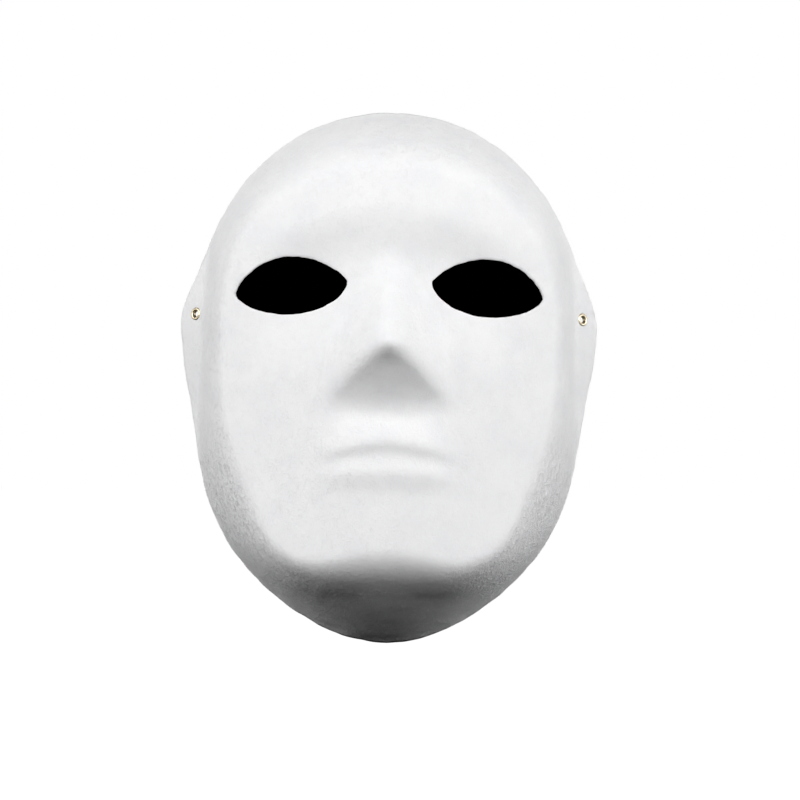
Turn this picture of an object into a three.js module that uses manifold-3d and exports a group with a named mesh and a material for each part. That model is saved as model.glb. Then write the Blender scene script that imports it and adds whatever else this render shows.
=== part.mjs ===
// A blank full-face mask moulded in paper pulp, with a brass eyelet at each temple for its strap.
// It stands as it is worn: +Z is up, the face looks along -Y, and left and right are the wearer's,
// so the left side is +X. The origin lies on the middle plane, level with the eyes, in the plane of
// the rim. Lengths are in millimetres and angles in degrees.
import * as THREE from "three";
import { mergeVertices } from "three/addons/utils/BufferGeometryUtils.js";
import Module from "manifold-3d";

// Shell and outline. The outline is polar, about a point on the middle plane below the eyes.
const wallThickness = 1.6;
const outlineCentreZ = -20;
const halfWidth = 90.2;
const crown = { reach: 101.7, power: 2.07 };
const chin = { reach: 143.3, power: 1.86 };
const templeSwell = { amount: 6.1, angle: 2.2, spreadDown: 25, spreadUp: 12.4 };
const jawSwell = { amount: 10.3, angle: -51, spreadDown: 23.9, spreadUp: 23.9 };

// Side walls: the run is how far a wall goes inwards for each millimetre that it rises, the foot is
// how much steeper it starts at the rim, and the shoulder is how much of its height is rounded off
// where it meets the face. The jaw adds to the run and the shoulder, so it is softer there.
const wallRun = { side: 0.17, crown: 0.275, chin: 0.66, crownPower: 2.6, chinPower: 18 };
const wallFoot = { side: 1.3, crown: 0, chin: 1.05, crownPower: 2, chinPower: 6 };
const wallFootReach = 12;
const shoulder = { side: 36, crown: 46, chin: 15, crownPower: 2, chinPower: 10 };
const jawEase = { run: 0.12, shoulder: 10, angle: -48, spreadDown: 14, spreadUp: 22 };
const tab = { width: 10.5, slope: 0.9, angle: 1, spreadDown: 24, spreadUp: 17, valleyRound: 0.8 };

// Face, as depths in front of the rim plane.
const dome = { depth: 64, sideDrop: 18.5, sideReach: 70, sidePower: 1.8 };
const forehead = { startZ: 10, fall: 0.003 };
const brow = { topZ: 40, bottomZ: 11, droop: 6.5, droopReach: 35, depth: 4 };
const socket = { depth: 1.5, x: 30, spreadIn: 17, spreadOut: 23 };
const socketFade = { innerX: 40, outerX: 72, topZ: 6, bottomZ: -50 };
const nose = {
  tipZ: -25, tipDepth: 84.6, ridgeRound: 9, ridgeRise: 0.69, lowRidgeRise: 0.34, riseRound: 2,
  flankSlope: 1.6, flankHollow: 0.0035, edgeRound: 7,
};
const noseUnder = { slope: 0.97, hollow: 0.018, lift: 0.9, sideFall: 0.0068 };
const noseTip = { swell: 1.8, z: -25.5, spread: 5.5 };
const noseRoot = { flankBlend: 7, baseBlend: 2.5, baseZ: -50, flankZ: -30 };
const mouth = { innerX: 16, outerX: 37, arch: 5.6, archReach: 31.5, archZ: -73, archSpread: 11, archBase: 1 };
const lipSteps = [
  { rise: 3.6, topZ: -55, bottomZ: -72 },
  { rise: -1.4, topZ: -69.9, bottomZ: -76.7 },
  { rise: 1.1, topZ: -76.7, bottomZ: -85 },
  { rise: -1.4, topZ: -83, bottomZ: -95.3 },
];

// Eye openings: two curved lids between a pair of corners, the outer corner lower.
const eye = { x: 45.2, z: -0.6, halfWidth: 26.2, tilt: 7.2 };
const upperLid = { height: 14.3, power: 0.77, lean: 0.073 };
const lowerLid = { height: 12.6, power: 0.6, lean: -0.075 };
const lidSteps = 22;

// Eyelets, each set square to its tab. The flange's and the clinch's widths are past the barrel.
const seatGap = 0.3;
const eyeletPlace = { angle: 4.6, inset: 6.3 };
const bore = 1.5;
const tubeWall = 0.25;
const mouthRound = 0.25;
const flange = { width: 1.15, thickness: 0.35, mouth: 0.45, bevel: 0.35 };
const clinch = { width: 0.85, thickness: 0.35 };
const eyeletSides = 20;
const barrelRadius = bore + tubeWall;
const flangeRadius = barrelRadius + flange.width;
const clinchRadius = barrelRadius + clinch.width;

// Mesh of the shell.
const columns = 36;
const rows = 44;
const trimOverhang = 1.2;
const raySamples = 160;
const centreDensity = { gain: 0.9, reach: 48 };
const normalStep = 0.05;

const radians = (degrees) => (degrees * Math.PI) / 180;
const wasm = await Module();
wasm.setup();

// A smooth step: 0 below low, 1 above high.
function ramp(value, low, high) {
  const t = Math.min(Math.max((value - low) / (high - low), 0), 1);
  return t * t * (3 - 2 * t);
}

// A bell that is 1 at its centre, with its own spread on each side.
function bell(value, centre, spreadBelow, spreadAbove) {
  const spread = value > centre ? spreadAbove : spreadBelow;
  return Math.exp(-(((value - centre) / spread) ** 2));
}

// The smaller of two heights, rounded where they cross.
function roundedMin(a, b, round) {
  const near = Math.max(round - Math.abs(a - b), 0) / round;
  return Math.min(a, b) - (near * near * round) / 4;
}

const roundedMax = (a, b, round) => -roundedMin(-a, -b, round);

// 0 for a negative value and the value itself for a positive one, rounded between.
const softRamp = (value, round) => round * Math.log1p(Math.exp(value / round));

// Distance of the outline from its centre, on the left half: 90 degrees is the crown.
function outlineRadius(angle) {
  const end = angle > 0 ? crown : chin;
  const across = Math.abs(Math.cos(radians(angle))) / halfWidth;
  const along = Math.abs(Math.sin(radians(angle))) / end.reach;
  const oval = (across ** end.power + along ** end.power) ** (-1 / end.power);
  const swells = [templeSwell, jawSwell].map(
    (swell) => swell.amount * bell(angle, swell.angle, swell.spreadDown, swell.spreadUp),
  );
  return oval + swells[0] + swells[1];
}

// A side value that turns into the crown's or the chin's value as the angle nears it.
function aroundRim(angle, value) {
  const rise = Math.abs(Math.sin(radians(angle)));
  if (angle > 0) return value.side + (value.crown - value.side) * rise ** value.crownPower;
  return value.side + (value.chin - value.side) * rise ** value.chinPower;
}

const atJaw = (angle) => bell(angle, jawEase.angle, jawEase.spreadDown, jawEase.spreadUp);

// The flared tab and the wall that stands on it, by distance inside the outline.
function wallDepth(inset, angle) {
  const tabWidth = tab.width * bell(angle, tab.angle, tab.spreadDown, tab.spreadUp);
  const wallSlope = 1 / (aroundRim(angle, wallRun) + jawEase.run * atJaw(angle));
  const risen = softRamp(inset - tabWidth, tab.valleyRound) - softRamp(-tabWidth, tab.valleyRound);
  const footShare = 1 - Math.exp(-Math.max(risen, 0) / wallFootReach);
  const foot = aroundRim(angle, wallFoot) * wallFootReach * footShare;
  return tab.slope * inset + (wallSlope - tab.slope) * risen + foot;
}

// Forehead and cheeks, with the hollow under the brow.
function domeDepth(x, z) {
  const cheek = dome.depth - dome.sideDrop * (x / dome.sideReach) ** dome.sidePower;
  const fall = forehead.fall * Math.max(z - forehead.startZ, 0) ** 2;
  const browZ = z + brow.droop * (x / brow.droopReach) ** 2;
  const underBrow = 1 - ramp(browZ, brow.bottomZ, brow.topZ);
  const hollow = brow.depth + socket.depth * bell(x, socket.x, socket.spreadIn, socket.spreadOut);
  const besideFade = 1 - ramp(x, socketFade.innerX, socketFade.outerX);
  const belowFade = ramp(z, socketFade.bottomZ, socketFade.topZ);
  return cheek - fall - hollow * underBrow * besideFade * belowFade;
}

// Height of the lips over the dome.
function lipRelief(x, z) {
  const arch = mouth.arch * bell(z, mouth.archZ, mouth.archSpread, mouth.archSpread) + mouth.archBase;
  const lipZ = z + arch * (x / mouth.archReach) ** 2;
  const relief = lipSteps.reduce(
    (sum, step) => sum + step.rise * (1 - ramp(lipZ, step.bottomZ, step.topZ)),
    0,
  );
  return relief * (1 - ramp(x, mouth.innerX, mouth.outerX));
}

// The nose: two flanks under a rounded ridge, cut off below by a hollowed underside, with a small
// ball at the tip.
function noseDepth(x, z) {
  const overTip = z - nose.tipZ;
  const climb = nose.lowRidgeRise * overTip
    + (nose.ridgeRise - nose.lowRidgeRise) * softRamp(overTip, nose.riseRound);
  const flank = nose.flankSlope * (Math.hypot(x, nose.ridgeRound) - nose.ridgeRound)
    - nose.flankHollow * x * x;
  const below = Math.max(Math.min(overTip, 0), -noseUnder.slope / noseUnder.hollow);
  const rise = noseUnder.slope * (Math.max(overTip, 0) + below) + (noseUnder.hollow / 2) * below ** 2;
  const underside = nose.tipDepth + noseUnder.lift + rise - noseUnder.sideFall * x * x;
  const ball = noseTip.swell * Math.exp(-(x * x + (z - noseTip.z) ** 2) / noseTip.spread ** 2);
  return roundedMin(nose.tipDepth - climb - flank, underside, nose.edgeRound) + ball;
}

// Depth of the outer surface in front of the rim plane.
function surfaceDepth(side, z) {
  const x = Math.abs(side);
  const angle = THREE.MathUtils.radToDeg(Math.atan2(z - outlineCentreZ, x));
  const inset = outlineRadius(angle) - Math.hypot(x, z - outlineCentreZ);
  const blend = noseRoot.baseBlend
    + (noseRoot.flankBlend - noseRoot.baseBlend) * ramp(z, noseRoot.baseZ, noseRoot.flankZ);
  const face = roundedMax(domeDepth(x, z) + lipRelief(x, z), noseDepth(x, z), blend);
  const shoulderRound = aroundRim(angle, shoulder) + jawEase.shoulder * atJaw(angle);
  return roundedMin(face, wallDepth(inset, angle), shoulderRound);
}

const surfacePoint = (x, z) => new THREE.Vector3(x, -surfaceDepth(x, z), z);

// The outward normal of the outer surface.
function surfaceNormal(x, z) {
  const slopeX = surfaceDepth(x + normalStep, z) - surfaceDepth(x - normalStep, z);
  const slopeZ = surfaceDepth(x, z + normalStep) - surfaceDepth(x, z - normalStep);
  return new THREE.Vector3(-slopeX, -2 * normalStep, -slopeZ).normalize();
}

// A point at a share of the surface's length from the centre to just past the outline, along one
// ray of the left half. The lengths near the centre count for more, so the nose gets more rings.
function pointOnRay(angle, share) {
  const end = outlineRadius(angle) + trimOverhang;
  const across = Math.cos(radians(angle));
  const up = Math.sin(radians(angle));
  const lengths = [0];
  let depth = surfaceDepth(0, outlineCentreZ);
  for (let i = 1; i <= raySamples; i++) {
    const radius = (end * i) / raySamples;
    const next = surfaceDepth(radius * across, outlineCentreZ + radius * up);
    const weight = 1 + centreDensity.gain * Math.exp(-((radius / centreDensity.reach) ** 2));
    lengths.push(lengths[i - 1] + weight * Math.hypot(end / raySamples, next - depth));
    depth = next;
  }
  const wanted = share * lengths[raySamples];
  const after = Math.max(lengths.findIndex((length) => length >= wanted), 1);
  const between = (wanted - lengths[after - 1]) / (lengths[after] - lengths[after - 1]);
  const radius = (end * (after - 1 + between)) / raySamples;
  return [radius * across, outlineCentreZ + radius * up];
}

// Where the grid's point (u, v), each from -1 to 1, lies on the face: x and z.
function gridPoint(u, v) {
  const across = Math.abs(u) * Math.sqrt(1 - (v * v) / 2);
  const up = v * Math.sqrt(1 - (u * u) / 2);
  const angle = THREE.MathUtils.radToDeg(Math.atan2(up, across));
  const [x, z] = pointOnRay(angle, Math.min(Math.hypot(across, up), 1));
  return [Math.sign(u) * x, z];
}

// A closed shell: the outer skin, the inner skin one wall behind it, and the strip round the edge.
function shellGeometry() {
  const outer = [];
  const inner = [];
  for (let row = 0; row <= rows; row++) {
    for (let column = 0; column <= columns; column++) {
      const [x, z] = gridPoint((2 * column) / columns - 1, (2 * row) / rows - 1);
      const point = surfacePoint(x, z);
      outer.push(point);
      inner.push(point.clone().addScaledVector(surfaceNormal(x, z), -wallThickness));
    }
  }
  const index = [];
  const at = (column, row) => row * (columns + 1) + column;
  const quad = (a, b, c, d) => index.push(a, b, c, a, c, d);
  const back = outer.length;
  for (let row = 0; row < rows; row++) {
    for (let column = 0; column < columns; column++) {
      const corners = [
        at(column, row), at(column + 1, row), at(column + 1, row + 1), at(column, row + 1),
      ];
      const outwards = column < columns / 2 === row < rows / 2;
      const [a, b, c, d] = outwards ? corners : [...corners.slice(1), corners[0]];
      quad(a, b, c, d);
      quad(back + d, back + c, back + b, back + a);
    }
  }
  const edge = [];
  for (let column = 0; column < columns; column++) edge.push(at(column, 0));
  for (let row = 0; row < rows; row++) edge.push(at(columns, row));
  for (let column = columns; column > 0; column--) edge.push(at(column, rows));
  for (let row = rows; row > 0; row--) edge.push(at(0, row));
  edge.forEach((from, i) => {
    const to = edge[(i + 1) % edge.length];
    quad(to, from, back + from, back + to);
  });
  const geometry = new THREE.BufferGeometry().setFromPoints([...outer, ...inner]);
  return geometry.setIndex(index);
}

// The opening of one eye as a prism along Y; side is 1 for the left eye and -1 for the right.
function eyePrism(side) {
  const tilt = radians(eye.tilt);
  const outline = [];
  const addLid = (lid, sign, along) => {
    const height = sign * lid.height * (1 - along * along) ** lid.power * (1 + lid.lean * along);
    const across = eye.halfWidth * along;
    outline.push(new THREE.Vector2(
      side * (eye.x + across * Math.cos(tilt) + height * Math.sin(tilt)),
      eye.z - across * Math.sin(tilt) + height * Math.cos(tilt),
    ));
  };
  for (let i = 0; i < lidSteps; i++) addLid(upperLid, 1, Math.cos((Math.PI * i) / lidSteps));
  for (let i = 0; i < lidSteps; i++) addLid(lowerLid, -1, -Math.cos((Math.PI * i) / lidSteps));
  const depth = nose.tipDepth;
  return new THREE.ExtrudeGeometry(new THREE.Shape(outline), { depth, bevelEnabled: false, steps: 1 })
    .rotateX(Math.PI / 2);
}

// The space behind the rim plane, which trims the shell flat.
function trimBlock() {
  const size = 2 * (crown.reach + chin.reach);
  const behind = 2 * tab.width;
  return new THREE.BoxGeometry(size, behind, size).translate(0, behind / 2, 0);
}

// Where an eyelet sits: the surface point and the surface's normal, as a matrix whose Y is outwards.
function eyeletFrame(side) {
  const radius = outlineRadius(eyeletPlace.angle) - eyeletPlace.inset;
  const x = side * radius * Math.cos(radians(eyeletPlace.angle));
  const z = outlineCentreZ + radius * Math.sin(radians(eyeletPlace.angle));
  const turn = new THREE.Quaternion().setFromUnitVectors(new THREE.Vector3(0, 1, 0), surfaceNormal(x, z));
  return new THREE.Matrix4().compose(surfacePoint(x, z), turn, new THREE.Vector3(1, 1, 1));
}

const lathe = (profile) =>
  new THREE.LatheGeometry(profile.map(([radius, height]) => new THREE.Vector2(radius, height)), eyeletSides);

// What an eyelet takes out of the tab: its hole and the two shallow seats that it is pressed into.
function eyeletSeat() {
  const clear = flangeRadius;
  const flangeSeat = flangeRadius + seatGap;
  const clinchSeat = clinchRadius + seatGap;
  const hole = barrelRadius + seatGap;
  return lathe([
    [0, -wallThickness - clear],
    [clinchSeat, -wallThickness - clear],
    [clinchSeat, -wallThickness + seatGap],
    [hole, -wallThickness + seatGap],
    [hole, -seatGap],
    [flangeSeat, -seatGap],
    [flangeSeat, clear],
    [0, clear],
  ]);
}

// A one-piece eyelet: flange in front, barrel through the tab, and its end clinched over behind.
function eyeletGeometry() {
  const back = -wallThickness - clinch.thickness;
  return lathe([
    [bore + mouthRound, back],
    [clinchRadius - mouthRound / 2, back],
    [clinchRadius, back + mouthRound / 2],
    [clinchRadius, -wallThickness],
    [barrelRadius, -wallThickness],
    [barrelRadius, 0],
    [flangeRadius, 0],
    [flangeRadius, flange.thickness / 3],
    [flangeRadius - flange.bevel, flange.thickness],
    [bore + flange.mouth, flange.thickness],
    [bore, flange.thickness - mouthRound],
    [bore, back + mouthRound],
    [bore + mouthRound, back],
  ]);
}

// Boolean solids from closed geometries, and back.
function toSolid(geometry) {
  const bare = geometry.clone();
  bare.deleteAttribute("normal");
  bare.deleteAttribute("uv");
  const merged = mergeVertices(bare, 1e-4);
  return new wasm.Manifold(new wasm.Mesh({
    numProp: 3,
    vertProperties: new Float32Array(merged.attributes.position.array),
    triVerts: new Uint32Array(merged.index.array),
  }));
}

function toGeometry(solid) {
  const mesh = solid.getMesh();
  const geometry = new THREE.BufferGeometry();
  geometry.setAttribute("position", new THREE.BufferAttribute(new Float32Array(mesh.vertProperties), 3));
  geometry.setIndex(new THREE.BufferAttribute(new Uint32Array(mesh.triVerts), 1));
  geometry.computeVertexNormals();
  return geometry;
}

const pulp = new THREE.MeshStandardMaterial({ color: 0xf3f3f1, roughness: 0.92, metalness: 0 });
const brass = new THREE.MeshStandardMaterial({ color: 0xb2935a, roughness: 0.38, metalness: 1 });

function maskShell() {
  let solid = toSolid(shellGeometry()).subtract(toSolid(trimBlock()));
  for (const side of [1, -1]) {
    solid = solid.subtract(toSolid(eyePrism(side)));
    solid = solid.subtract(toSolid(eyeletSeat().applyMatrix4(eyeletFrame(side))));
  }
  const mesh = new THREE.Mesh(toGeometry(solid), pulp);
  mesh.name = "mask_shell";
  return mesh;
}

function eyelet(name, side) {
  const mesh = new THREE.Mesh(eyeletGeometry(), brass);
  mesh.name = name;
  mesh.applyMatrix4(eyeletFrame(side));
  return mesh;
}

const mask = new THREE.Group();
mask.add(maskShell(), eyelet("eyelet_left", 1), eyelet("eyelet_right", -1));

export default mask;
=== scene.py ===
"""Looks of a blank moulded-pulp face mask with a brass eyelet at each temple.

The mask's face looks along -Y with +Z up. The shape of the face is worked out in millimetres, from
the same formulas and sizes as the solid part, and everything in the scene is in metres.
"""
import math

import bpy
import numpy as np
from mathutils import Matrix, Vector


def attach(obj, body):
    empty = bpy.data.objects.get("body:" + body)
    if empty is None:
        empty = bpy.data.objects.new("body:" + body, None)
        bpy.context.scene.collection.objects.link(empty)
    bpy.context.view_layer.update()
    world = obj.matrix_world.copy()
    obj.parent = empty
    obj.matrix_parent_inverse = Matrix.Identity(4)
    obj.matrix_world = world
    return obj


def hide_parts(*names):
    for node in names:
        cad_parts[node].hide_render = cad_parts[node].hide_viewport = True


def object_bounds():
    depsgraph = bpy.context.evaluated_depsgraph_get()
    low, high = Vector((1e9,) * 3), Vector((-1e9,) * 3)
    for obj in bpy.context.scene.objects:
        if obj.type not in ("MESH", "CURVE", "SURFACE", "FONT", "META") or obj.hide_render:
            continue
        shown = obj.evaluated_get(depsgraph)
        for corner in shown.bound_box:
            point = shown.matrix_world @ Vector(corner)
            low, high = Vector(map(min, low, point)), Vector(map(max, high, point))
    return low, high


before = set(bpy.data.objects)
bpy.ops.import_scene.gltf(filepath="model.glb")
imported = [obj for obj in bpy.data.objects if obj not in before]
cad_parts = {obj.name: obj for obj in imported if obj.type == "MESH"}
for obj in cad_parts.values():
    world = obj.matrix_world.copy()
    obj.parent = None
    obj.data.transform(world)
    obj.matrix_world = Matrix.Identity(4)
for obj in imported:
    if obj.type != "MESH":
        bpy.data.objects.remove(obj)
cad_low, cad_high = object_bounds()

MM = 0.001
RANDOM_SEED = 7

# Outline and walls of the shell, in millimetres and degrees.
WALL = 1.6
OUTLINE_CENTRE_Z = -20
HALF_WIDTH = 90.2
CROWN = {"reach": 101.7, "power": 2.07}
CHIN = {"reach": 143.3, "power": 1.86}
TEMPLE_SWELL = {"amount": 6.1, "angle": 2.2, "below": 25, "above": 12.4}
JAW_SWELL = {"amount": 10.3, "angle": -51, "below": 23.9, "above": 23.9}
WALL_RUN = {"side": 0.17, "crown": 0.275, "chin": 0.66, "crown_power": 2.6, "chin_power": 18}
WALL_FOOT = {"side": 1.3, "crown": 0, "chin": 1.05, "crown_power": 2, "chin_power": 6}
WALL_FOOT_REACH = 12
SHOULDER = {"side": 36, "crown": 46, "chin": 15, "crown_power": 2, "chin_power": 10}
JAW_EASE = {"run": 0.12, "shoulder": 10, "angle": -48, "below": 14, "above": 22}
TAB = {"width": 10.5, "slope": 0.9, "angle": 1, "below": 24, "above": 17, "valley_round": 0.8}

# The face, as depths in front of the rim plane.
DOME = {"depth": 64, "side_drop": 18.5, "side_reach": 70, "side_power": 1.8}
FOREHEAD = {"start_z": 10, "fall": 0.003}
BROW = {"top_z": 40, "bottom_z": 11, "droop": 6.5, "droop_reach": 35, "depth": 4}
SOCKET = {"depth": 1.5, "x": 30, "inner": 17, "outer": 23}
SOCKET_FADE = {"inner_x": 40, "outer_x": 72, "top_z": 6, "bottom_z": -50}
NOSE = {
    "tip_z": -25, "tip_depth": 84.6, "ridge_round": 9, "ridge_rise": 0.69, "low_ridge_rise": 0.34,
    "rise_round": 2, "flank_slope": 1.6, "flank_hollow": 0.0035, "edge_round": 7,
}
NOSE_UNDER = {"slope": 0.97, "hollow": 0.018, "lift": 0.9, "side_fall": 0.0068}
NOSE_TIP = {"swell": 1.8, "z": -25.5, "spread": 5.5}
NOSE_ROOT = {"flank_blend": 7, "base_blend": 2.5, "base_z": -50, "flank_z": -30}
MOUTH = {"inner_x": 16, "outer_x": 37, "arch": 5.6, "arch_reach": 31.5, "arch_z": -73,
         "arch_spread": 11, "arch_base": 1}
LIP_STEPS = ((3.6, -55, -72), (-1.4, -69.9, -76.7), (1.1, -76.7, -85), (-1.4, -83, -95.3))

# Eye openings and eyelets, in millimetres and degrees.
EYE = {"x": 45.2, "z": -0.6, "half_width": 26.2, "tilt": 7.2}
UPPER_LID = {"height": 14.3, "power": 0.77, "lean": 0.073}
LOWER_LID = {"height": 12.6, "power": 0.6, "lean": -0.075}
EYELET_PLACE = {"angle": 4.6, "inset": 6.3}
EYELET_HOLE = 2.0
EYELET_SIDES = 72
PRESSED = 0.12
PRESS_INNER = 2.7
PRESS_OUTER = 4.6

# Mesh of the shell: quads across and up, and how the edges are cut.
ACROSS = 212
UP = 216
RAY_ANGLES = 361
RAY_SHARES = 400
CENTRE_GAIN = 0.9
CENTRE_REACH = 48
EDGE_ROUND = 0.3
EDGE_RINGS = (0.12, 0.5, 0.88)
RELAX_BAND = 6.0
RELAX_ROUNDS = 14

# Hand-made unevenness: each is a height and the shortest and longest wave, in millimetres.
UNEVEN = {"height": 0.07, "shortest": 7, "longest": 34}
THICKNESS_VARIATION = {"height": 0.12, "shortest": 5, "longest": 22}
RIM_WOBBLE = {"height": 0.22, "shortest": 5, "longest": 30}
EYE_EDGE_WOBBLE = {"height": 0.16, "shortest": 3.5, "longest": 14}
CUT_FUZZ = {"share": 0.35, "shortest": 0.8, "longest": 4}
UNEVEN_FADE_FROM = 0.9
RIM_WOBBLE_FROM = 0.93
EYE_WOBBLE_SEED = 20

# Where the pulp is matted, and where its clumps and fibres are tinted more strongly, partly as painted
# shade: on steep walls, most of all low on the jaw and the chin. Steepness goes by how far the surface
# faces forward, from 0 for a side wall to 1 for the front.
FACES_FORWARD = 0.9
FACES_ASIDE = 0.4
MATTING_AND_SHADE_TOP_Z = -50
MATTING_AND_SHADE_BOTTOM_Z = -100
MATTING_AND_SHADE_ABOVE = 0.2


# ---------------------------------------------------------------- shape of the face

def ramp(value, low, high):
    """A smooth step: 0 below low, 1 above high."""
    t = np.clip((value - low) / (high - low), 0, 1)
    return t * t * (3 - 2 * t)


def bell(value, centre, below, above):
    """A bell that is 1 at its centre, with its own spread on each side."""
    return np.exp(-((value - centre) / np.where(value > centre, above, below)) ** 2)


def rounded_min(a, b, rounding):
    """The smaller of two heights, rounded where they cross."""
    near = np.maximum(rounding - np.abs(a - b), 0) / rounding
    return np.minimum(a, b) - near * near * rounding / 4


def soft_ramp(value, rounding):
    """0 for a negative value and the value itself for a positive one, rounded between."""
    return rounding * np.logaddexp(0, value / rounding)


def outline_radius(angle):
    """Distance of the outline from its centre, on one half: 90 degrees is the crown."""
    turn = np.radians(angle)
    reach = np.where(angle > 0, CROWN["reach"], CHIN["reach"])
    power = np.where(angle > 0, CROWN["power"], CHIN["power"])
    across = np.abs(np.cos(turn)) / HALF_WIDTH
    along = np.abs(np.sin(turn)) / reach
    radius = (across ** power + along ** power) ** (-1 / power)
    for swell in (TEMPLE_SWELL, JAW_SWELL):
        radius = radius + swell["amount"] * bell(angle, swell["angle"], swell["below"], swell["above"])
    return radius


def around_rim(angle, value):
    """A side value that turns into the crown's or the chin's as the angle nears it."""
    rise = np.abs(np.sin(np.radians(angle)))
    to_crown = (value["crown"] - value["side"]) * rise ** value["crown_power"]
    to_chin = (value["chin"] - value["side"]) * rise ** value["chin_power"]
    return value["side"] + np.where(angle > 0, to_crown, to_chin)


def at_jaw(angle):
    """1 at the jaw, where the wall leans in and its shoulder is softer, and 0 away from it."""
    return bell(angle, JAW_EASE["angle"], JAW_EASE["below"], JAW_EASE["above"])


def wall_depth(inset, angle):
    """The flared tab and the wall that stands on it, by distance inside the outline."""
    tab = TAB["width"] * bell(angle, TAB["angle"], TAB["below"], TAB["above"])
    risen = soft_ramp(inset - tab, TAB["valley_round"]) - soft_ramp(-tab, TAB["valley_round"])
    foot_share = 1 - np.exp(-np.maximum(risen, 0) / WALL_FOOT_REACH)
    foot = around_rim(angle, WALL_FOOT) * WALL_FOOT_REACH * foot_share
    wall_slope = 1 / (around_rim(angle, WALL_RUN) + JAW_EASE["run"] * at_jaw(angle))
    return TAB["slope"] * inset + (wall_slope - TAB["slope"]) * risen + foot


def dome_depth(x, z):
    """Forehead and cheeks, with the hollow under the brow."""
    cheek = DOME["depth"] - DOME["side_drop"] * (x / DOME["side_reach"]) ** DOME["side_power"]
    fall = FOREHEAD["fall"] * np.maximum(z - FOREHEAD["start_z"], 0) ** 2
    brow_z = z + BROW["droop"] * (x / BROW["droop_reach"]) ** 2
    under_brow = 1 - ramp(brow_z, BROW["bottom_z"], BROW["top_z"])
    hollow = BROW["depth"] + SOCKET["depth"] * bell(x, SOCKET["x"], SOCKET["inner"], SOCKET["outer"])
    beside = 1 - ramp(x, SOCKET_FADE["inner_x"], SOCKET_FADE["outer_x"])
    below = ramp(z, SOCKET_FADE["bottom_z"], SOCKET_FADE["top_z"])
    return cheek - fall - hollow * under_brow * beside * below


def lip_relief(x, z):
    """Height of the lips over the dome."""
    bow = bell(z, MOUTH["arch_z"], MOUTH["arch_spread"], MOUTH["arch_spread"])
    lip_z = z + (MOUTH["arch"] * bow + MOUTH["arch_base"]) * (x / MOUTH["arch_reach"]) ** 2
    relief = sum(rise * (1 - ramp(lip_z, bottom, top)) for rise, top, bottom in LIP_STEPS)
    return relief * (1 - ramp(x, MOUTH["inner_x"], MOUTH["outer_x"]))


def nose_depth(x, z):
    """The nose: two flanks under a rounded ridge, a hollowed underside, and a ball at the tip."""
    over_tip = z - NOSE["tip_z"]
    steepening = NOSE["ridge_rise"] - NOSE["low_ridge_rise"]
    climb = NOSE["low_ridge_rise"] * over_tip + steepening * soft_ramp(over_tip, NOSE["rise_round"])
    flank = NOSE["flank_slope"] * (np.hypot(x, NOSE["ridge_round"]) - NOSE["ridge_round"])
    flank = flank - NOSE["flank_hollow"] * x * x
    below = np.clip(over_tip, -NOSE_UNDER["slope"] / NOSE_UNDER["hollow"], 0)
    rise = NOSE_UNDER["slope"] * (np.maximum(over_tip, 0) + below)
    rise = rise + NOSE_UNDER["hollow"] / 2 * below ** 2
    underside = NOSE["tip_depth"] + NOSE_UNDER["lift"] + rise - NOSE_UNDER["side_fall"] * x * x
    ball = NOSE_TIP["swell"] * np.exp(-(x * x + (z - NOSE_TIP["z"]) ** 2) / NOSE_TIP["spread"] ** 2)
    return rounded_min(NOSE["tip_depth"] - climb - flank, underside, NOSE["edge_round"]) + ball


def surface_depth(side, z):
    """Depth of the outer surface in front of the rim plane."""
    x = np.abs(side)
    angle = np.degrees(np.arctan2(z - OUTLINE_CENTRE_Z, x))
    inset = outline_radius(angle) - np.hypot(x, z - OUTLINE_CENTRE_Z)
    to_flank = ramp(z, NOSE_ROOT["base_z"], NOSE_ROOT["flank_z"])
    blend = NOSE_ROOT["base_blend"] + (NOSE_ROOT["flank_blend"] - NOSE_ROOT["base_blend"]) * to_flank
    face = -rounded_min(-(dome_depth(x, z) + lip_relief(x, z)), -nose_depth(x, z), blend)
    shoulder = around_rim(angle, SHOULDER) + JAW_EASE["shoulder"] * at_jaw(angle)
    return rounded_min(face, wall_depth(inset, angle), shoulder)


def surface_normals(x, z, step=0.1):
    """Outward unit normals of the outer surface, one row for each point."""
    slope_x = (surface_depth(x + step, z) - surface_depth(x - step, z)) / (2 * step)
    slope_z = (surface_depth(x, z + step) - surface_depth(x, z - step)) / (2 * step)
    normals = np.stack([-slope_x, -np.ones_like(slope_x), -slope_z], -1)
    return normals / np.linalg.norm(normals, axis=-1, keepdims=True)


class Waves:
    """Smooth unevenness: a sum of sine waves in seeded directions, about 1 at its largest."""

    def __init__(self, seed, shortest, longest, count=28, dimensions=3):
        random = np.random.default_rng(seed)
        heading = random.normal(size=(count, dimensions))
        heading /= np.linalg.norm(heading, axis=1, keepdims=True)
        length = np.exp(random.uniform(math.log(shortest), math.log(longest), count))
        self.waves = heading * (2 * math.pi / length)[:, None]
        self.phase = random.uniform(0, 2 * math.pi, count)
        self.height = math.sqrt(2 / count) / 2

    def __call__(self, points):
        return self.height * np.sin(points @ self.waves.T + self.phase).sum(-1)


def waves(seed, size, dimensions=3):
    """The waves of one kind of unevenness."""
    return Waves(seed, size["shortest"], size["longest"], dimensions=dimensions)


# ---------------------------------------------------------------- mesh of the shell

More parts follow.
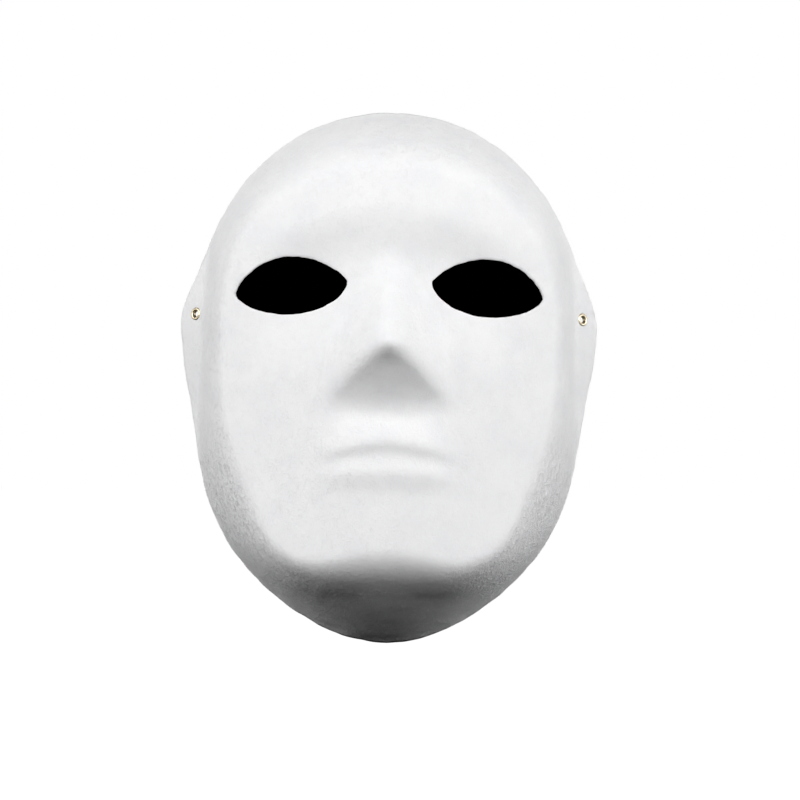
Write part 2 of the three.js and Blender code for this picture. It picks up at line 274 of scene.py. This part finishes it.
def ray_table():
    """Radius by angle and by share of the surface's length from the centre to the outline."""
    angles = np.linspace(-90, 90, RAY_ANGLES)
    steps = np.linspace(0, 1, RAY_SHARES)
    radius = outline_radius(angles)[:, None] * steps[None, :]
    x = radius * np.cos(np.radians(angles))[:, None]
    z = OUTLINE_CENTRE_Z + radius * np.sin(np.radians(angles))[:, None]
    depth = surface_depth(x, z)
    pieces = np.hypot(np.diff(radius, axis=1), np.diff(depth, axis=1))
    middle = (radius[:, 1:] + radius[:, :-1]) / 2
    pieces *= 1 + CENTRE_GAIN * np.exp(-((middle / CENTRE_REACH) ** 2))
    length = np.concatenate([np.zeros((RAY_ANGLES, 1)), np.cumsum(pieces, axis=1)], axis=1)
    rows = [np.interp(steps * along[-1], along, row) for along, row in zip(length, radius)]
    return np.array(rows)


def table_value(table, angle, share):
    """The table's value between its entries, for angles of -90 to 90 and shares of 0 to 1."""
    row = np.clip((angle + 90) / 180 * (RAY_ANGLES - 1), 0, RAY_ANGLES - 1.001)
    column = np.clip(share * (RAY_SHARES - 1), 0, RAY_SHARES - 1.001)
    i, j = row.astype(int), column.astype(int)
    s, t = row - i, column - j
    upper = table[i, j] * (1 - t) + table[i, j + 1] * t
    lower = table[i + 1, j] * (1 - t) + table[i + 1, j + 1] * t
    return upper * (1 - s) + lower * s


def face_grid():
    """x and z of a grid that fills the outline, and each point's share of the way out to it."""
    u, v = np.meshgrid(np.linspace(-1, 1, ACROSS + 1), np.linspace(-1, 1, UP + 1))
    across = np.abs(u) * np.sqrt(1 - v * v / 2)
    up = v * np.sqrt(1 - u * u / 2)
    share = np.minimum(np.hypot(across, up), 1)
    angle = np.degrees(np.arctan2(up, across))
    radius = table_value(ray_table(), angle, share)
    x = np.sign(u) * radius * np.cos(np.radians(angle))
    z = OUTLINE_CENTRE_Z + radius * np.sin(np.radians(angle))
    return x.ravel(), z.ravel(), share.ravel()


def grid_quads():
    """The grid's quads as rows of four vertex numbers, facing the viewer."""
    numbers = np.arange((ACROSS + 1) * (UP + 1)).reshape(UP + 1, ACROSS + 1)
    corners = (numbers[:-1, :-1], numbers[:-1, 1:], numbers[1:, 1:], numbers[1:, :-1])
    return np.stack([corner.ravel() for corner in corners], 1)


def eye_outline(side, points=420):
    """The edge of one eye opening as a closed run of x and z; side is 1 for the left eye."""
    tilt = math.radians(EYE["tilt"])
    swing = np.linspace(0, 2 * math.pi, points, endpoint=False)
    along = np.cos(swing)
    upper, lower = (
        lid["height"] * (1 - along ** 2) ** lid["power"] * (1 + lid["lean"] * along)
        for lid in (UPPER_LID, LOWER_LID)
    )
    height = np.where(swing < math.pi, upper, -lower)
    across = EYE["half_width"] * along
    x = side * (EYE["x"] + across * math.cos(tilt) + height * math.sin(tilt))
    z = EYE["z"] - across * math.sin(tilt) + height * math.cos(tilt)
    edge = np.stack([x, z], 1)
    wobble = waves(RANDOM_SEED + EYE_WOBBLE_SEED + side, EYE_EDGE_WOBBLE, dimensions=2)(edge)
    return edge + EYE_EDGE_WOBBLE["height"] * wobble[:, None] * outward_of(edge)


def outward_of(edge):
    """Unit normals out of a closed run of points, whichever way it runs."""
    along = np.roll(edge, -1, 0) - np.roll(edge, 1, 0)
    normal = np.stack([along[:, 1], -along[:, 0]], 1)
    normal /= np.maximum(np.linalg.norm(normal, axis=1, keepdims=True), 1e-9)
    outwards = (normal * (edge - edge.mean(0))).sum()
    return normal if outwards > 0 else -normal


def is_inside(points, edge):
    """Which points lie inside a closed run of points."""
    x, z = points[:, :1], points[:, 1:]
    x0, z0 = edge[None, :, 0], edge[None, :, 1]
    x1, z1 = np.roll(x0, -1, 1), np.roll(z0, -1, 1)
    crosses = (z0 > z) != (z1 > z)
    with np.errstate(divide="ignore", invalid="ignore"):
        at = x0 + (z - z0) / (z1 - z0) * (x1 - x0)
    return (crosses & (x < at)).sum(1) % 2 == 1


def nearest_on(points, edge):
    """For each point, the number of the nearest point of a run, and its distance."""
    gaps = np.linalg.norm(points[:, None, :] - edge[None, :, :], axis=2)
    nearest = gaps.argmin(1)
    return nearest, gaps[np.arange(len(points)), nearest]


def open_hole(flat, quads, edge):
    """Takes the quads inside an edge away and pulls the grid round it onto the edge.

    Returns the quads that are left, the hole's vertices and the outward direction at each.
    """
    middle = flat[quads].mean(1)
    near = np.linalg.norm(middle - edge.mean(0), axis=1) < np.ptp(edge, axis=0).max()
    gone = np.zeros(len(quads), bool)
    gone[near] = is_inside(middle[near], edge)
    kept = quads[~gone]
    rim = np.intersect1d(quads[gone], kept)
    close = np.unique(kept[near[~gone]])
    band = close[nearest_on(flat[close], edge)[1] < RELAX_BAND]
    place = {vertex: i for i, vertex in enumerate(band)}
    sides = np.concatenate([kept[:, [0, 1]], kept[:, [1, 2]], kept[:, [2, 3]], kept[:, [3, 0]]])
    sides = np.unique(np.sort(sides[np.isin(sides, band).any(1)], axis=1), axis=0)
    on_rim = np.isin(band, rim)
    rows = [place[vertex] for vertex in rim]
    flat[rim] = edge[nearest_on(flat[rim], edge)[0]]
    for _ in range(RELAX_ROUNDS):
        total = np.zeros((len(band), 2))
        count = np.zeros(len(band))
        for here, there in (sides.T, sides[:, ::-1].T):
            known = np.isin(here, band) & ~(np.isin(here, rim) & ~np.isin(there, rim))
            slots = np.array([place[vertex] for vertex in here[known]])
            np.add.at(total, slots, flat[there[known]])
            np.add.at(count, slots, 1)
        count = np.maximum(count, 1)[:, None]
        ease = np.where(on_rim, 1, 1 - nearest_on(flat[band], edge)[1] / RELAX_BAND).clip(0, 1)[:, None]
        moved = flat[band] * (1 - 0.5 * ease) + total / count * 0.5 * ease
        moved[rows] = edge[nearest_on(moved[rows], edge)[0]]
        flat[band] = moved
    return kept, rim, -outward_of(edge)[nearest_on(flat[rim], edge)[0]]


def eyelet_frame(side):
    """Where an eyelet sits, in millimetres: its point on the surface and the outward normal."""
    angle = math.radians(EYELET_PLACE["angle"])
    radius = float(outline_radius(np.array(EYELET_PLACE["angle"]))) - EYELET_PLACE["inset"]
    x = np.array([side * radius * math.cos(angle)])
    z = np.array([OUTLINE_CENTRE_Z + radius * math.sin(angle)])
    point = np.array([x[0], -surface_depth(x, z)[0], z[0]])
    return point, surface_normals(x, z)[0]


def eyelet_hole_edge(side, points=90):
    """The eyelet's hole in the tab, as x and z: a circle square to the tab's normal."""
    point, normal = eyelet_frame(side)
    across = np.cross(normal, (0, 0, 1))
    across /= np.linalg.norm(across)
    up = np.cross(across, normal)
    swing = np.linspace(0, 2 * math.pi, points, endpoint=False)[:, None]
    ring = point + EYELET_HOLE * (np.cos(swing) * across + np.sin(swing) * up)
    return ring[:, [0, 2]]


def pressed_depth(points):
    """How far the pulp is pressed in around the eyelets."""
    pressed = np.zeros(len(points))
    for side in (1, -1):
        centre, _ = eyelet_frame(side)
        away = np.linalg.norm(points - centre, axis=1)
        pressed += PRESSED * (1 - ramp(away, PRESS_INNER, PRESS_OUTER))
    return pressed


def shell_parts():
    """Vertices in millimetres, faces, and how far each vertex is inside, on a cut edge, and matted with
    painted shade.
    """
    x, z, share = face_grid()
    flat = np.stack([x, z], 1)
    centre = np.array([0, OUTLINE_CENTRE_Z])
    away = flat - centre
    away /= np.maximum(np.linalg.norm(away, axis=1, keepdims=True), 1e-9)
    outer_ring = share > 1 - 1e-6
    quads = grid_quads()
    holes = []
    for side in (1, -1):
        for edge in (eye_outline(side), eyelet_hole_edge(side)):
            quads, rim, inwards = open_hole(flat, quads, edge)
            holes.append((rim, np.stack([inwards[:, 0], np.zeros(len(rim)), inwards[:, 1]], 1)))
    x, z = flat.T
    normals = surface_normals(x, z)
    # How matted the pulp is, by steepness and by height; the material darkens the pulp there, partly as
    # painted shade.
    steep = 1 - ramp(-normals[:, 1], FACES_ASIDE, FACES_FORWARD)
    low = 1 - ramp(z, MATTING_AND_SHADE_BOTTOM_Z, MATTING_AND_SHADE_TOP_Z)
    matting_and_shade = steep * (MATTING_AND_SHADE_ABOVE + (1 - MATTING_AND_SHADE_ABOVE) * low)
    outer = np.stack([x, -surface_depth(x, z), z], 1)
    fade = 1 - ramp(share, UNEVEN_FADE_FROM, 1)
    uneven = UNEVEN["height"] * waves(RANDOM_SEED, UNEVEN)(outer) * fade
    outer += normals * (uneven - pressed_depth(outer))[:, None]
    thicker = waves(RANDOM_SEED + 1, THICKNESS_VARIATION)(outer)
    thickness = WALL + THICKNESS_VARIATION["height"] * thicker * fade
    inner = outer - normals * thickness[:, None]
    near_rim = ramp(share, RIM_WOBBLE_FROM, 1)
    wobble = RIM_WOBBLE["height"] * waves(RANDOM_SEED + 2, RIM_WOBBLE)(outer) * near_rim
    for skin in (outer, inner):
        skin[:, [0, 2]] += away * wobble[:, None]
        skin[:, 1] = np.minimum(skin[:, 1], -EDGE_ROUND)

    used = np.unique(quads)
    renumber = np.full(len(flat), -1)
    renumber[used] = np.arange(len(used))
    quads = renumber[quads]
    count = len(used)
    bulge = np.zeros((len(flat), 3))
    bulge[outer_ring] = (0, 1, 0)
    for rim, inwards in holes:
        bulge[rim] = inwards
    outer, inner, bulge, matting_and_shade = outer[used], inner[used], bulge[used], matting_and_shade[used]
    sides = np.concatenate([quads[:, [0, 1]], quads[:, [1, 2]], quads[:, [2, 3]], quads[:, [3, 0]]])
    codes = sides[:, 0] * count + sides[:, 1]
    open_sides = sides[~np.isin(codes, sides[:, 1] * count + sides[:, 0])]
    edge = np.unique(open_sides)
    ring_at = np.full(count, -1)
    ring_at[edge] = np.arange(len(edge))
    through = inner[edge] - outer[edge]
    push = bulge[edge]
    along = (push * through).sum(1, keepdims=True) / (through ** 2).sum(1, keepdims=True)
    flat_push = push - along * through
    is_rim = push[:, 1] > 0.5
    push = np.where(is_rim[:, None], push, flat_push)
    fuzz = waves(RANDOM_SEED + 3, CUT_FUZZ)(outer[edge])
    rings = []
    for share_through in EDGE_RINGS:
        swell = EDGE_ROUND * (1 - abs(2 * share_through - 1) ** 4) * (1 + CUT_FUZZ["share"] * fuzz)
        rings.append(outer[edge] + through * share_through + push * swell[:, None])
    vertices = np.concatenate([outer, inner, *rings])
    layers = [open_sides]
    layers += [2 * count + i * len(edge) + ring_at[open_sides] for i in range(len(EDGE_RINGS))]
    layers.append(open_sides + count)
    strips = [
        np.stack([near[:, 1], near[:, 0], far[:, 0], far[:, 1]], 1)
        for near, far in zip(layers[:-1], layers[1:])
    ]
    faces = np.concatenate([quads, quads[:, ::-1] + count, *strips])
    inside = np.zeros(len(vertices))
    inside[count:2 * count] = 1
    cut = np.zeros(len(vertices))
    cut[2 * count:] = 1
    for i, share_through in enumerate(EDGE_RINGS):
        inside[2 * count + i * len(edge):2 * count + (i + 1) * len(edge)] = share_through
    matting_and_shade = np.concatenate([matting_and_shade, matting_and_shade, *[matting_and_shade[edge]] * len(EDGE_RINGS)])
    return vertices, faces, {"inside": inside, "cut": cut, "matting_and_shade": matting_and_shade}


def mesh_object(name, vertices, faces, attributes=None):
    """A smooth-shaded mesh object from vertices in metres."""
    mesh = bpy.data.meshes.new(name)
    mesh.from_pydata(vertices.tolist(), [], faces.tolist())
    for key, values in (attributes or {}).items():
        layer = mesh.attributes.new(key, "FLOAT", "POINT")
        layer.data.foreach_set("value", np.asarray(values, np.float32))
    mesh.polygons.foreach_set("use_smooth", [True] * len(mesh.polygons))
    mesh.update()
    piece = bpy.data.objects.new(name, mesh)
    bpy.context.scene.collection.objects.link(piece)
    return piece


def make_shell():
    vertices, faces, attributes = shell_parts()
    return mesh_object("pulp_shell", vertices * MM, faces, attributes)


# ---------------------------------------------------------------- eyelets

# Section of an eyelet as radius and height over the tab, in millimetres, all the way round it.
EYELET_SECTION = (
    (2.9, -0.04), (2.93, 0.06), (2.86, 0.17), (2.68, 0.29), (2.42, 0.38), (2.15, 0.41), (1.9, 0.36),
    (1.7, 0.24), (1.56, 0.06), (1.5, -0.16), (1.5, -0.8), (1.5, -1.35), (1.54, -1.6), (1.68, -1.82),
    (1.92, -1.95), (2.2, -1.99), (2.46, -1.92), (2.58, -1.78), (2.55, -1.64), (2.3, -1.62),
    (1.95, -1.6), (1.78, -1.5), (1.75, -1.2), (1.75, -0.5), (1.78, -0.14), (2.0, -0.05),
)
PETALS = 6
PETAL_NOTCH = 0.22
PETAL_WIDTH = 0.1
PETAL_DEPTHS = (1.55, 1.75)
PETAL_RADII = (1.7, 2.3)


def make_eyelet(name, side):
    """A rolled brass eyelet, its end split into petals where it was clinched over the pulp."""
    swing = np.linspace(0, 2 * math.pi, EYELET_SIDES, endpoint=False)
    petal = (swing * PETALS / (2 * math.pi) + 0.5) % 1 - 0.5
    notch = PETAL_NOTCH * np.exp(-((petal * 2 * math.pi / PETALS / PETAL_WIDTH) ** 2))
    point, normal = eyelet_frame(side)
    across = np.cross(normal, (0, 0, 1))
    across /= np.linalg.norm(across)
    up = np.cross(across, normal)
    around = np.cos(swing)[:, None] * across + np.sin(swing)[:, None] * up
    rings = []
    for radius, height in EYELET_SECTION:
        is_behind = float(ramp(np.array(-height), *PETAL_DEPTHS))
        is_clinched = float(ramp(np.array(radius), *PETAL_RADII))
        reach = (radius - notch * (is_behind * is_clinched))[:, None]
        rings.append(point + normal * height + reach * around)
    vertices = np.concatenate(rings)
    faces = []
    for i in range(len(EYELET_SECTION)):
        for j in range(EYELET_SIDES):
            next_ring, next_side = (i + 1) % len(EYELET_SECTION), (j + 1) % EYELET_SIDES
            faces.append((
                i * EYELET_SIDES + j, next_ring * EYELET_SIDES + j,
                next_ring * EYELET_SIDES + next_side, i * EYELET_SIDES + next_side,
            ))
    return mesh_object(name, vertices * MM, np.array(faces))


# ---------------------------------------------------------------- materials

# Fibres in the pulp: size of the pattern in millimetres, its turn, and the width of a line.
COARSE_FIBRES = ((3.6, (0.3, 0.5, 0.2), 0.026), (2.9, (1.1, 0.2, 1.4), 0.03))
FINE_FIBRES = ((1.9, (0.7, 1.7, 2.2), 0.034), (1.5, (2.1, 2.5, 0.8), 0.036))

# Sizes of the pulp's other patterns, in millimetres.
GRAIN_SIZE = 0.42
LUMP_SIZE = 1.5
CLOUD_SIZE = 16
SPECK_SPACING = 5.5
FUZZ_SIZE = 0.3
SCREEN_WAVES = {"Scale": 0.21, "Distortion": 0.35, "Detail": 1.0}

# Colours, and how much of each is mixed in where its pattern is full.
PULP_WHITE = (0.84, 0.84, 0.846, 1)
PULP_COOL = (0.80, 0.803, 0.815, 1)
# Clumps: a cool grey tint, partly random lumps and partly painted shade on steep walls and low on the jaw
# and chin.
CLUMP_AND_SHADE = ((0.7, 0.7, 0.715, 1), 0.3)
# Fibres: colour, and their share where the pulp is smooth and where it is matted; the larger share is
# partly painted shade and painted highlight.
LIGHT_FIBRE = ((0.94, 0.94, 0.945, 1), 0.15, 0.9)
DARK_FIBRE = ((0.55, 0.545, 0.54, 1), 0.08, 0.28)
GRAIN = ((0.66, 0.66, 0.65, 1), 0.14)
SPECK = ((0.33, 0.3, 0.27, 1), 0.5)
INSIDE = ((0.76, 0.755, 0.735, 1), 0.3)
CUT_EDGE = ((0.70, 0.695, 0.68, 1), 0.35)

# Heights of the pulp's relief, in millimetres, and its share where the pulp is smooth and matted.
RELIEF_SHARE = (0.3, 0.9)
RELIEF = {"lumps": 0.4, "grain": 0.1, "fibres": 0.2, "screen": 0.12, "fuzz": 0.25}
PULP_ROUGHNESS = 0.97
PULP_SPECULAR = 0.25

BRASS_BRIGHT = (0.8, 0.7, 0.5, 1)
BRASS_TARNISHED = (0.4, 0.32, 0.21, 1)
BRASS_DARK = ((0.2, 0.16, 0.1, 1), 0.35)
BRASS_ROUGHNESS = 0.3
TARNISH_ROUGHNESS = 0.22


class Nodes:
    """Adds shader nodes to a material: a value is set on its socket and a socket is linked to it."""

    def __init__(self, name):
        self.material = bpy.data.materials.new(name)
        self.material.use_nodes = True
        self.tree = self.material.node_tree
        self.shader = self.tree.nodes["Principled BSDF"]

    def put(self, socket, value):
        if isinstance(value, bpy.types.NodeSocket):
            self.tree.links.new(value, socket)
        else:
            socket.default_value = value

    def add(self, kind, output, inputs, **settings):
        made = self.tree.nodes.new(kind)
        for key, value in settings.items():
            setattr(made, key, value)
        for key, value in inputs.items():
            self.put(made.inputs[key], value)
        return made.outputs[output]

    def math(self, operation, *values, clamp=False):
        inputs = {i: value for i, value in enumerate(values)}
        return self.add("ShaderNodeMath", 0, inputs, operation=operation, use_clamp=clamp)

    def points(self, stretch=(1, 1, 1), turn=(0, 0, 0)):
        """The surface's own coordinates in millimetres, turned and stretched."""
        own = self.add("ShaderNodeTexCoord", "Object", {})
        scale = tuple(1000 * part for part in stretch)
        return self.add("ShaderNodeMapping", 0, {"Vector": own, "Rotation": turn, "Scale": scale})

    def noise(self, size, vector=None, detail=2.0, roughness=0.5, distortion=0.0):
        inputs = {
            "Vector": vector or self.points(), "Scale": 1 / size, "Detail": detail,
            "Roughness": roughness, "Distortion": distortion,
        }
        return self.add("ShaderNodeTexNoise", 0, inputs)

    def remap(self, value, low, high, to_low=0.0, to_high=1.0):
        inputs = {0: value, 1: low, 2: high, 3: to_low, 4: to_high}
        return self.add("ShaderNodeMapRange", 0, inputs)

    def mix(self, share, a, b):
        inputs = {0: share, 6: a, 7: b}
        return self.add("ShaderNodeMix", 2, inputs, data_type="RGBA")

    def tint(self, color, pattern, tint, most):
        """Mixes a tint into a colour where a pattern is, up to the most of it."""
        return self.mix(self.math("MULTIPLY", pattern, most), color, tint)

    def bump(self, height, distance, under=None):
        inputs = {"Height": height, "Distance": distance * MM, "Strength": 1.0}
        if under is not None:
            inputs["Normal"] = under
        return self.add("ShaderNodeBump", 0, inputs)

    def attribute(self, name):
        return self.add("ShaderNodeAttribute", "Fac", {}, attribute_name=name)


def fibre_lines(nodes, size, turn, width, stretch=(1, 1, 0.45)):
    """Short thin lines that wander like fibres lying in the surface: 1 on a line and 0 off it."""
    field = nodes.noise(size, nodes.points(stretch, turn), detail=1.5, distortion=0.9)
    line = nodes.math("ABSOLUTE", nodes.math("SUBTRACT", field, 0.5))
    on_line = nodes.remap(line, width, 0.0)
    gaps = nodes.remap(nodes.noise(size * 1.7, nodes.points((1, 1, 1), turn)), 0.47, 0.58)
    return nodes.math("MULTIPLY", on_line, gaps)


def pulp_material():
    """White moulded pulp: fibres, clumps and specks, painted shade on steep walls, a screen print inside
    and fuzz on its edges.
    """
    nodes = Nodes("moulded_pulp")
    coarse, fine = (
        nodes.math("MAXIMUM", *[fibre_lines(nodes, *layer) for layer in layers])
        for layers in (COARSE_FIBRES, FINE_FIBRES)
    )
    fibres = nodes.math("MAXIMUM", coarse, fine)
    grain = nodes.noise(GRAIN_SIZE, detail=3.0, roughness=0.65)
    lumps = nodes.noise(LUMP_SIZE, detail=2.5, roughness=0.6)
    clouds = nodes.noise(CLOUD_SIZE, detail=3.0)
    inside = nodes.attribute("inside")
    cut = nodes.attribute("cut")
    matting_and_shade = nodes.attribute("matting_and_shade")
    relief = nodes.remap(matting_and_shade, 0.0, 1.0, *RELIEF_SHARE)

    cell = nodes.tree.nodes.new("ShaderNodeTexVoronoi")
    nodes.put(cell.inputs["Vector"], nodes.points())
    cell.inputs["Scale"].default_value = 1 / SPECK_SPACING
    pick = nodes.add("ShaderNodeSeparateColor", 0, {0: cell.outputs["Color"]})
    speck_size = nodes.remap(pick, 0.55, 1.0, 0.0, 0.035)
    speck_edge = nodes.math("SUBTRACT", speck_size, cell.outputs["Distance"])
    speck = nodes.remap(speck_edge, 0.0, 0.012)

    shade = nodes.mix(nodes.remap(clouds, 0.35, 0.7), PULP_WHITE, PULP_COOL)
    # Clumps darken steep walls and low on the jaw and chin: random lumps, and partly painted shade.
    clumps_and_shade = nodes.math("MULTIPLY", nodes.remap(lumps, 0.42, 0.62), matting_and_shade)
    shade = nodes.tint(shade, clumps_and_shade, *CLUMP_AND_SHADE)
    # Both fibre tints grow where the pulp is matted; there the dark fibres are partly painted shade and
    # the light fibres partly painted highlight.
    for pattern, (color, smooth, rough) in ((coarse, LIGHT_FIBRE), (fine, DARK_FIBRE)):
        share = nodes.math("MULTIPLY", pattern, nodes.remap(matting_and_shade, 0.0, 1.0, smooth, rough))
        shade = nodes.mix(share, shade, color)
    shade = nodes.tint(shade, nodes.remap(grain, 0.52, 0.75), *GRAIN)
    shade = nodes.tint(shade, speck, *SPECK)
    shade = nodes.tint(shade, inside, *INSIDE)
    shade = nodes.tint(shade, cut, *CUT_EDGE)
    nodes.put(nodes.shader.inputs["Base Color"], shade)

    rough = nodes.math("SUBTRACT", PULP_ROUGHNESS, nodes.math("MULTIPLY", grain, 0.14))
    nodes.put(nodes.shader.inputs["Roughness"], rough)
    nodes.shader.inputs["Specular IOR Level"].default_value = PULP_SPECULAR

    weave_x, weave_z = (
        nodes.add("ShaderNodeTexWave", 0, {"Vector": nodes.points(), **SCREEN_WAVES}, bands_direction=axis)
        for axis in ("X", "Z")
    )
    screen = nodes.math("MULTIPLY", nodes.math("MULTIPLY", weave_x, weave_z), inside)
    fuzz = nodes.math("MULTIPLY", nodes.noise(FUZZ_SIZE, detail=3.0), cut)
    normal = nodes.bump(nodes.math("MULTIPLY", lumps, relief), RELIEF["lumps"])
    normal = nodes.bump(nodes.math("MULTIPLY", grain, relief), RELIEF["grain"], under=normal)
    normal = nodes.bump(nodes.math("MULTIPLY", fibres, relief), RELIEF["fibres"], under=normal)
    normal = nodes.bump(screen, RELIEF["screen"], under=normal)
    normal = nodes.bump(fuzz, RELIEF["fuzz"], under=normal)
    nodes.put(nodes.shader.inputs["Normal"], normal)
    return nodes.material


def brass_material():
    """Satin brass with patches of tarnish and fine scratches."""
    nodes = Nodes("eyelet_brass")
    tarnish = nodes.remap(nodes.noise(0.9, detail=4.0, roughness=0.6), 0.42, 0.68)
    fine = nodes.noise(0.16, detail=3.0)
    scratch = nodes.noise(0.5, nodes.points((1, 1, 6), (0.4, 0.9, 0.2)), detail=2.0)
    metal = nodes.mix(tarnish, BRASS_BRIGHT, BRASS_TARNISHED)
    metal = nodes.tint(metal, nodes.remap(fine, 0.55, 0.7), *BRASS_DARK)
    nodes.put(nodes.shader.inputs["Base Color"], metal)
    nodes.shader.inputs["Metallic"].default_value = 1.0
    rough = nodes.math("ADD", BRASS_ROUGHNESS, nodes.math("MULTIPLY", tarnish, TARNISH_ROUGHNESS))
    nodes.put(nodes.shader.inputs["Roughness"], rough)
    normal = nodes.bump(scratch, 0.012)
    normal = nodes.bump(fine, 0.006, under=normal)
    nodes.put(nodes.shader.inputs["Normal"], normal)
    return nodes.material


# ---------------------------------------------------------------- stage

# Stage, in metres. The view's width and centre are in the plane of the rim.
CAMERA_DISTANCE = 3.5
CLIP_END = 60
VIEW_WIDTH = 0.3712
VIEW_CENTRE = (0.0056, -0.0513)
CAMERA_ROLL = math.radians(0.9)
SENSOR = 36.0
CARD_DISTANCE = 3.9
CARD_MARGIN = 0.012
FLOOR_DROP = 0.12
FLOOR_SIZE = 30.0
FAINT_LIGHT = 0.01

# Soft lights: azimuth, elevation and watts. Each is a panel that faces the mask from one distance.
PANEL_DISTANCE = 1.7
PANEL_SIZE = (0.9, 0.8)
LIGHTS = {
    "key_right": (-35, 20, 14.6),
    "key_left": (35, 20, 15.6),
    "fill_right": (-65, 20, 10.2),
    "fill_left": (65, 20, 8.2),
    "edge_right": (-92, 3, 5.0),
    "edge_left": (92, 3, 7.8),
    "top_back": (180, 60, 8.6),
    "inside": (180, 5, 14.0),
}


def make_camera():
    """A long lens straight in front of the face."""
    camera = bpy.data.objects.new("camera", bpy.data.cameras.new("camera"))
    camera.data.sensor_width = SENSOR
    camera.data.lens = SENSOR * CAMERA_DISTANCE / VIEW_WIDTH
    camera.data.clip_end = CLIP_END
    camera.location = (VIEW_CENTRE[0], -CAMERA_DISTANCE, VIEW_CENTRE[1])
    level = Matrix.Rotation(math.pi / 2, 3, "X")
    camera.rotation_euler = (level @ Matrix.Rotation(CAMERA_ROLL, 3, "Z")).to_euler()
    bpy.context.scene.collection.objects.link(camera)
    bpy.context.scene.camera = camera


def make_lights():
    """Large soft panels round the mask, out of the camera's sight."""
    middle = (cad_low + cad_high) / 2
    for name, (azimuth, elevation, watts) in LIGHTS.items():
        data = bpy.data.lights.new(name, "AREA")
        data.shape = "RECTANGLE"
        data.size, data.size_y = PANEL_SIZE
        data.energy = watts
        lamp = bpy.data.objects.new(name, data)
        a, e = math.radians(azimuth), math.radians(elevation)
        away = Vector((math.sin(a) * math.cos(e), -math.cos(a) * math.cos(e), math.sin(e)))
        lamp.location = middle + away * PANEL_DISTANCE
        lamp.rotation_euler = away.to_track_quat("Z", "Y").to_euler()
        lamp.visible_camera = False
        bpy.context.scene.collection.objects.link(lamp)


def camera_only(tree, seen, unseen):
    """Mixes two shaders: one that the camera sees and one that lights the scene."""
    path = tree.nodes.new("ShaderNodeLightPath")
    mix = tree.nodes.new("ShaderNodeMixShader")
    tree.links.new(path.outputs["Is Camera Ray"], mix.inputs[0])
    tree.links.new(unseen, mix.inputs[1])
    tree.links.new(seen, mix.inputs[2])
    return mix.outputs[0]


def make_world():
    """White behind the object, and a faint even light."""
    world = bpy.data.worlds.new("studio")
    world.use_nodes = True
    tree = world.node_tree
    output = tree.nodes["World Output"]
    white = tree.nodes["Background"]
    white.inputs["Color"].default_value = (1, 1, 1, 1)
    white.inputs["Strength"].default_value = 1.0
    faint = tree.nodes.new("ShaderNodeBackground")
    faint.inputs["Color"].default_value = (1, 1, 1, 1)
    faint.inputs["Strength"].default_value = FAINT_LIGHT
    shader = camera_only(tree, white.outputs[0], faint.outputs[0])
    tree.links.new(shader, output.inputs["Surface"])
    bpy.context.scene.world = world


def stage_material(name, glow, color=(0, 0, 0, 1)):
    """A plain stage surface: a diffuse colour plus an even glow that only the camera sees."""
    material = bpy.data.materials.new(name)
    material.use_nodes = True
    shader = material.node_tree.nodes["Principled BSDF"]
    shader.inputs["Base Color"].default_value = color
    shader.inputs["Roughness"].default_value = 1.0
    shader.inputs["Specular IOR Level"].default_value = 0.0
    shader.inputs["Emission Color"].default_value = (1, 1, 1, 1)
    shader.inputs["Emission Strength"].default_value = glow
    return material


def one_quad(name, corners):
    return mesh_object(name, np.array(corners), np.array([(0, 1, 2, 3)]))


def make_stage():
    """A pale floor, and a black card far behind the eye openings, hidden by the mask itself."""
    half = FLOOR_SIZE / 2
    low = cad_low.z - FLOOR_DROP
    floor = one_quad("studio_floor", (
        (-half, -half, low), (half, -half, low), (half, half, low), (-half, half, low),
    ))
    floor.data.materials.append(stage_material("pale_floor", 1.0, (0.85, 0.85, 0.85, 1)))
    floor.visible_diffuse = False
    floor.visible_glossy = False
    eyes = np.concatenate([eye_outline(1), eye_outline(-1)]) * MM
    spread = (CAMERA_DISTANCE + CARD_DISTANCE) / CAMERA_DISTANCE
    x, z = (VIEW_CENTRE[i] + (eyes[:, i] - VIEW_CENTRE[i]) * spread for i in (0, 1))
    x0, x1 = x.min() - CARD_MARGIN, x.max() + CARD_MARGIN
    z0, z1 = z.min() - CARD_MARGIN, z.max() + CARD_MARGIN
    card = one_quad("black_card", (
        (x0, CARD_DISTANCE, z0), (x1, CARD_DISTANCE, z0),
        (x1, CARD_DISTANCE, z1), (x0, CARD_DISTANCE, z1),
    ))
    card.data.materials.append(stage_material("black_card", 0.0))


# ---------------------------------------------------------------- the scene

make_camera()
make_world()
make_lights()
make_stage()

shell = make_shell()
shell.data.materials.append(pulp_material())
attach(shell, "root")
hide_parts("mask_shell")

brass = brass_material()
for name, node, side in (
    ("rolled_eyelet_left", "eyelet_left", 1),
    ("rolled_eyelet_right", "eyelet_right", -1),
):
    eyelet = make_eyelet(name, side)
    eyelet.data.materials.append(brass)
    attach(eyelet, "root")
    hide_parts(node)

bpy.context.scene.view_settings.view_transform = "Standard"
